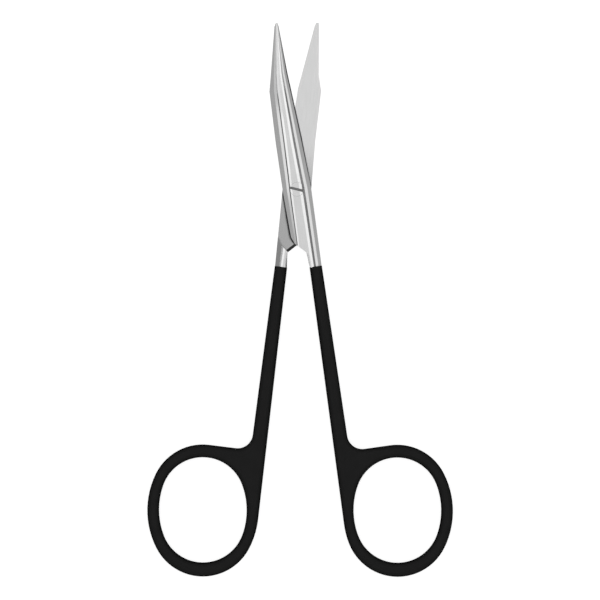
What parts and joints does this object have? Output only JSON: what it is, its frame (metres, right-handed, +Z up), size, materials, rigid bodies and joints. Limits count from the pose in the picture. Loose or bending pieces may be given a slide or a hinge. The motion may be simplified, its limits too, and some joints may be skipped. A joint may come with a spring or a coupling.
{
  "type": "tenotomy scissors",
  "caption": "Slim straight surgical scissors with tapered pointed blades, slotted pivot screw and black finger rings.",
  "frame": {"origin": "on the pivot screw's axis, at the plane that the scissors lie on", "axes": "+Z up out of the plane the scissors lie on, along the pivot screw's axis; +Y along the bisector of the open blades, towards the tips; +X to the right, towards the front half's finger ring"},
  "size_m": [0.0621, 0.1126, 0.0033],
  "materials": {
    "coated_steel": "satin-ground bare steel blades and joint, matt black coat on shanks and rings",
    "screw_steel": "ground flush, satin"
  },
  "bodies": {
    "rear": {"rear_half": "coated_steel", "pivot_screw": "screw_steel"},
    "front": {"front_half": "coated_steel"}
  },
  "joints": [
    {"name": "pivot", "type": "hinge", "parent": "rear", "child": "front", "pos_m": [0, 0, 0], "axis": [0, 0, 1], "range_deg": [-14, 132]}
  ]
}
